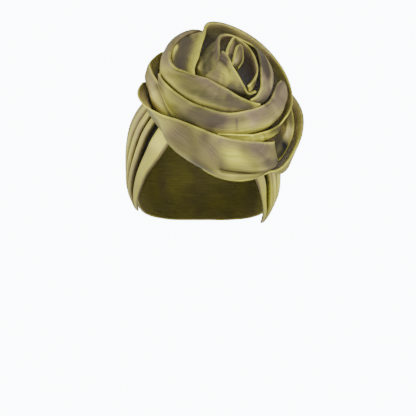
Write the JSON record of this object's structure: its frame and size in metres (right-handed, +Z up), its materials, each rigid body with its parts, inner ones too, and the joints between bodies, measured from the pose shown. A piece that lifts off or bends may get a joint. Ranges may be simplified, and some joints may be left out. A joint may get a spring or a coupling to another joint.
{
  "type": "tied gele head tie",
  "caption": "Ready-tied head tie: a close hollow cap with pleated side wraps crossing over the brow and a large rose of rolled folded bands on the front.",
  "frame": {"origin": "middle of the head hollow, at the level of the brow where the cap grips the head", "axes": "+Z up through the crown, the face opening and the rose look along -Y, +X is on the right of someone who looks at the face"},
  "size_m": [0.1734, 0.2386, 0.1924],
  "materials": {
    "shot_taffeta": "olive-gold shot taffeta with a fine slub and a satin sheen, mauve-brown where it turns away"
  },
  "bodies": {
    "root": {"cap": "shot_taffeta", "wrap_left": "shot_taffeta", "wrap_right": "shot_taffeta", "petal_outer_right": "shot_taffeta", "petal_right_tuck": "shot_taffeta", "petal_outer_front": "shot_taffeta", "petal_left": "shot_taffeta", "petal_back": "shot_taffeta", "petal_middle_front": "shot_taffeta", "petal_inner_front": "shot_taffeta", "petal_heart_wrap": "shot_taffeta", "heart_ring": "shot_taffeta", "heart_fold": "shot_taffeta"}
  },
  "joints": []
}
